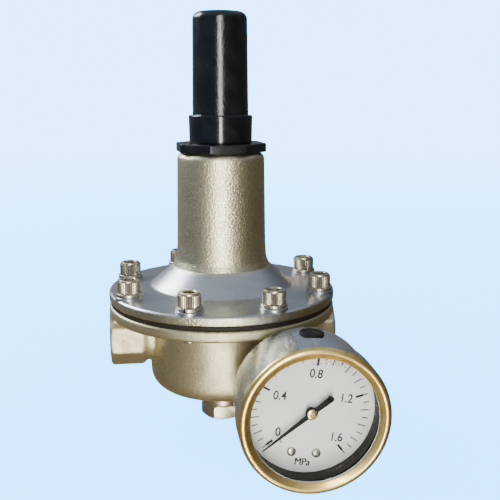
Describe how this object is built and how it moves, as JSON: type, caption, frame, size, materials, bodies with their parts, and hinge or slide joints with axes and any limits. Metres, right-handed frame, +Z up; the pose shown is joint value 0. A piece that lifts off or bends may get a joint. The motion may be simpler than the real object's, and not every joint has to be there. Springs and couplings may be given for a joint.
{
  "type": "pressure reducing valve",
  "caption": "Spring-loaded diaphragm pressure reducing valve with octagonal pipe ends, bolted cast body and bonnet, tall screw cap and a front-facing dial gauge.",
  "frame": {"origin": "where the flow line crosses the spindle axis", "axes": "+X downstream along the flow line, towards the outlet; +Z up along the spindle axis, towards the cap; the gauge faces -Y"},
  "size_m": [0.1101, 0.1365, 0.1882],
  "materials": {
    "cast_body": "blasted cast stainless steel, warm khaki",
    "cast_bonnet": "blasted cast stainless steel with a fine grain",
    "plug_steel": "turned stainless steel",
    "screw_steel": "knurled stainless steel",
    "washer_steel": "plain stainless steel",
    "gasket": "black rubber",
    "diaphragm": "fabric-reinforced black rubber",
    "black_nut": "black, semi-gloss with sharp edges",
    "black_cap": "glossy moulded black plastic",
    "inner_steel": "turned steel",
    "spring_steel": "shot-peened spring steel",
    "seat_metal": "turned brass",
    "gauge_case": "polished stainless steel",
    "gauge_bezel": "polished rolled brass",
    "gauge_window": "clear window",
    "dial_white": "white painted sheet with printed scale",
    "dial_screws": "domed screws, bright",
    "pointer_black": "black painted pointer",
    "movement_brass": "stamped brass",
    "socket_brass": "machined brass",
    "tube_bronze": "drawn bronze tube",
    "hairspring": "blued strip",
    "seal_tape": "white sealing ring"
  },
  "bodies": {
    "root": {"body_casting": "cast_body", "seat_ring": "seat_metal", "seat_gasket": "gasket", "bottom_plug": "plug_steel", "plug_gasket": "gasket", "diaphragm": "diaphragm", "bonnet": "cast_bonnet", "flange_screws": "screw_steel", "spring_washers": "washer_steel", "octagonal_nut": "black_nut", "main_spring": "spring_steel", "return_spring": "spring_steel", "gauge_case": "gauge_case", "gauge_bezel": "gauge_bezel", "gauge_window": "gauge_window", "window_gasket": "gasket", "gauge_dial": "dial_white", "dial_screws": "dial_screws", "stop_pin": "dial_screws", "gauge_socket": "socket_brass", "socket_seal": "seal_tape", "bourdon_tube": "tube_bronze", "tube_tip": "movement_brass", "movement_plates": "movement_brass", "movement_pillars": "movement_brass", "filler_plug": "gasket", "hairspring": "hairspring"},
    "cap": {"cap": "black_cap"},
    "spring_button": {"spring_button": "inner_steel"},
    "adjusting_screw": {"adjusting_screw": "inner_steel"},
    "lock_nut": {"lock_nut": "inner_steel"},
    "stem": {"valve_stem": "inner_steel", "disc_holder": "seat_metal", "disc_seal": "gasket", "disc_nut": "inner_steel", "diaphragm_plate": "inner_steel", "diaphragm_washer": "inner_steel", "diaphragm_nut": "inner_steel"},
    "pointer": {"pointer": "pointer_black", "pointer_boss": "movement_brass", "pinion_arbor": "inner_steel"},
    "sector": {"sector_gear": "movement_brass"},
    "link": {"movement_link": "movement_brass"}
  },
  "joints": [
    {"name": "cap_lift", "type": "slide", "parent": "root", "child": "cap", "axis": [0, 0, 1], "range_m": [0, 0.05]},
    {"name": "button_travel", "type": "slide", "parent": "root", "child": "spring_button", "axis": [0, 0, -1], "range_m": [0, 0.009], "deforming": ["main_spring"]},
    {"name": "screw_turn", "type": "hinge", "parent": "spring_button", "child": "adjusting_screw", "pos_m": [0, 0, 0.08], "axis": [0, 0, -1], "range_deg": [0, 2160]},
    {"name": "lock_nut_turn", "type": "hinge", "parent": "root", "child": "lock_nut", "pos_m": [0, 0, 0.096], "axis": [0, 0, 1], "range_deg": [0, 90]},
    {"name": "stem_travel", "type": "slide", "parent": "root", "child": "stem", "axis": [0, 0, -1], "range_m": [0, 0.003], "stiffness_N_per_m": 2000, "springref_m": -0.004, "deforming": ["return_spring", "diaphragm"]},
    {"name": "sector_turn", "type": "hinge", "parent": "root", "child": "sector", "pos_m": [0.02547, -0.0669, -0.02755], "axis": [0, -1, 0], "range_deg": [0, 36], "stiffness_Nm_per_rad": 0.004, "springref_deg": -1.15},
    {"name": "pointer_turn", "type": "hinge", "parent": "root", "child": "pointer", "pos_m": [0.0276, -0.0669, -0.0124], "axis": [0, 1, 0], "range_deg": [0, 270]},
    {"name": "link_swing", "type": "hinge", "parent": "sector", "child": "link", "pos_m": [0.02356, -0.068, -0.02381], "axis": [0, -1, 0], "range_deg": [-36, 0]}
  ],
  "couplings": [
    {"joint": "screw_turn", "follows": "button_travel", "rad_per_m": 4188.8},
    {"joint": "pointer_turn", "follows": "sector_turn", "ratio": 7.5},
    {"joint": "link_swing", "follows": "sector_turn", "ratio": -1}
  ]
}
